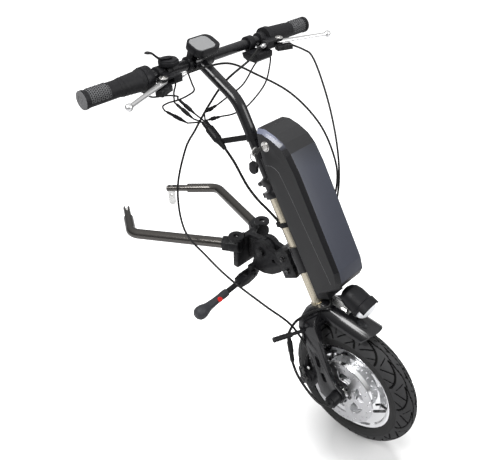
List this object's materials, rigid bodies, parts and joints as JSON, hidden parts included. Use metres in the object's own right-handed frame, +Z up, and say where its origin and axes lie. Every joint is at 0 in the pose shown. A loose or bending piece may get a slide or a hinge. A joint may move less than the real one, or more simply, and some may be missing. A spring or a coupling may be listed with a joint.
{
  "type": "wheelchair power assist",
  "caption": "Hub-motor front wheel with handlebar, battery and a hitch with two bent arms that drives and steers a manual wheelchair.",
  "frame": {"origin": "midway between the eyelets of the two arm tabs, where the chair holds the unit", "axes": "+X the way it travels, +Y the rider's left, +Z up"},
  "size_m": [0.8864, 0.624, 0.8301],
  "materials": {
    "frame_paint": "satin black powder coat",
    "cast_paint": "satin black paint on castings",
    "fastener_black": "black oxide",
    "column_alloy": "clear anodised",
    "rim_alloy": "polished",
    "lever_alloy": "polished",
    "plain_steel": "zinc plated",
    "tyre_rubber": "moulded tread",
    "grip_rubber": "moulded rubber",
    "cable_sheath": "smooth sheath",
    "black_plastic": "fine texture",
    "pack_shell": "satin",
    "gloss_black": "glossy",
    "screen": "clear window",
    "lens": "clear",
    "red_plastic": "glossy"
  },
  "bodies": {
    "hitch": {"hitch_plate": "frame_paint", "arm_sockets": "frame_paint", "pivot_bolt": "fastener_black"},
    "arm_right": {"arm_right": "frame_paint"},
    "arm_left": {"arm_left": "frame_paint"},
    "tip_right": {"tip_right": "frame_paint"},
    "tip_left": {"tip_left": "frame_paint"},
    "tab_right": {"tab_right": "plain_steel"},
    "tab_left": {"tab_left": "plain_steel"},
    "front": {"front_block": "cast_paint", "head_sleeve": "cast_paint", "clamp_bolts": "fastener_black"},
    "lock": {"lock_lever": "cast_paint", "lock_grip": "black_plastic"},
    "release": {"lock_button": "red_plastic"},
    "steer": {"fork": "frame_paint", "column_tube": "column_alloy", "column_collars": "frame_paint", "stem": "frame_paint", "bar_clamp": "frame_paint", "handlebar": "frame_paint", "grip_right": "grip_rubber", "throttle_housing": "black_plastic", "grip_left": "grip_rubber", "perch_right": "cast_paint", "perch_left": "cast_paint", "cable_adjusters": "lever_alloy", "bell_body": "black_plastic", "display_case": "black_plastic", "display_screen": "screen", "switch_box": "black_plastic", "battery_rail": "black_plastic", "mudguard": "gloss_black", "lamp_bracket": "plain_steel", "side_peg": "grip_rubber", "axle": "plain_steel", "axle_nuts": "fastener_black", "caliper_body": "cast_paint", "brake_cable": "cable_sheath", "right_lead": "cable_sheath", "left_lead": "cable_sheath", "harness_wires": "cable_sheath", "connectors": "black_plastic", "splitter": "black_plastic", "cable_straps": "cable_sheath"},
    "wheel": {"tyre": "tyre_rubber", "rim": "rim_alloy", "rotor": "plain_steel", "wheel_fittings": "fastener_black"},
    "right_lever": {"brake_lever_right": "lever_alloy"},
    "left_lever": {"brake_lever_left": "lever_alloy"},
    "twist": {"throttle_twist": "grip_rubber"},
    "bell": {"bell_lever": "black_plastic"},
    "pack": {"battery_pack": "pack_shell"},
    "key": {"battery_key": "plain_steel"},
    "fob": {"key_fob": "black_plastic"},
    "caliper_arm": {"caliper_arm": "fastener_black"},
    "lamp": {"lamp_body": "black_plastic", "lamp_lens": "lens"},
    "horn": {"horn_button": "red_plastic"}
  },
  "joints": [
    {"name": "hitch_tilt", "type": "hinge", "parent": "hitch", "child": "front", "pos_m": [0.44346, 0, 0.08335], "axis": [0, 1, 0], "range_deg": [-16, 0]},
    {"name": "steering", "type": "hinge", "parent": "front", "child": "steer", "pos_m": [0.70967, 0, -0.15221], "axis": [-0.524, 0, 0.8517], "range_deg": [-40, 40], "deforming": ["brake_cable"]},
    {"name": "wheel_spin", "type": "hinge", "parent": "steer", "child": "wheel", "pos_m": [0.71546, 0, -0.14865], "axis": [0, 1, 0], "continuous": true},
    {"name": "brake_right", "type": "hinge", "parent": "steer", "child": "right_lever", "pos_m": [0.2853, -0.1272, 0.47524], "axis": [0, 0, -1], "range_deg": [0, 20], "stiffness_Nm_per_rad": 2, "springref_deg": -8.59},
    {"name": "brake_left", "type": "hinge", "parent": "steer", "child": "left_lever", "pos_m": [0.2853, 0.205, 0.47524], "axis": [0, 0, 1], "range_deg": [0, 20], "stiffness_Nm_per_rad": 2, "springref_deg": -8.59},
    {"name": "throttle", "type": "hinge", "parent": "steer", "child": "twist", "pos_m": [0.2453, -0.1796, 0.47524], "axis": [0, -1, 0], "range_deg": [0, 65], "stiffness_Nm_per_rad": 0.4, "springref_deg": -17.19},
    {"name": "bell_thumb", "type": "hinge", "parent": "steer", "child": "bell", "pos_m": [0.2533, -0.087, 0.50524], "axis": [0, 0, 1], "range_deg": [0, 28], "stiffness_Nm_per_rad": 0.2, "springref_deg": -11.46},
    {"name": "lock_swing", "type": "hinge", "parent": "front", "child": "lock", "pos_m": [0.42046, -0.026, 0.01435], "axis": [-1, 0, 0], "range_deg": [0, 50]},
    {"name": "lock_release", "type": "slide", "parent": "lock", "child": "release", "axis": [-0.866, 0.0523, -0.4973], "range_m": [0, 0.0015], "stiffness_N_per_m": 800, "springref_m": -0.002},
    {"name": "arm_roll_right", "type": "hinge", "parent": "hitch", "child": "arm_right", "pos_m": [0.38046, -0.042, 0.08535], "axis": [-0.9155, -0.3714, -0.1548], "range_deg": [-20, 20]},
    {"name": "arm_reach_right", "type": "slide", "parent": "arm_right", "child": "tip_right", "axis": [-0.8539, 0.5, -0.1444], "range_m": [-0.02, 0.03]},
    {"name": "tab_swing_right", "type": "hinge", "parent": "tip_right", "child": "tab_right", "pos_m": [0, -0.07784, 0.021], "axis": [0.5, 0.866, 0], "range_deg": [-8, 95]},
    {"name": "arm_roll_left", "type": "hinge", "parent": "hitch", "child": "arm_left", "pos_m": [0.38046, 0.042, 0.08535], "axis": [-0.9155, 0.3714, -0.1548], "range_deg": [-20, 20]},
    {"name": "arm_reach_left", "type": "slide", "parent": "arm_left", "child": "tip_left", "axis": [-0.8539, -0.5, -0.1444], "range_m": [-0.02, 0.03]},
    {"name": "tab_swing_left", "type": "hinge", "parent": "tip_left", "child": "tab_left", "pos_m": [0, 0.07784, 0.021], "axis": [-0.5, 0.866, 0], "range_deg": [-8, 95]},
    {"name": "pack_lift", "type": "slide", "parent": "steer", "child": "pack", "axis": [-0.524, 0, 0.8517], "range_m": [0, 0.1]},
    {"name": "key_turn", "type": "hinge", "parent": "pack", "child": "key", "pos_m": [0.47573, -0.044, 0.37309], "axis": [0, 1, 0], "range_deg": [0, 90]},
    {"name": "fob_swing", "type": "hinge", "parent": "key", "child": "fob", "pos_m": [0.47573, -0.076, 0.36909], "axis": [1, 0, 0], "range_deg": [-35, 35]},
    {"name": "caliper_pull", "type": "hinge", "parent": "steer", "child": "caliper_arm", "pos_m": [0.63346, -0.076, -0.14808], "axis": [0, 1, 0], "range_deg": [-22, 22]},
    {"name": "lamp_tilt", "type": "hinge", "parent": "steer", "child": "lamp", "pos_m": [0.67376, 0, 0.05434], "axis": [0, 1, 0], "range_deg": [-8, 8]},
    {"name": "horn_press", "type": "slide", "parent": "steer", "child": "horn", "axis": [1, 0, 0], "range_m": [0, 0.0025], "stiffness_N_per_m": 500, "springref_m": -0.002}
  ],
  "couplings": [
    {"joint": "caliper_pull", "follows": "brake_left", "ratio": 1}
  ]
}
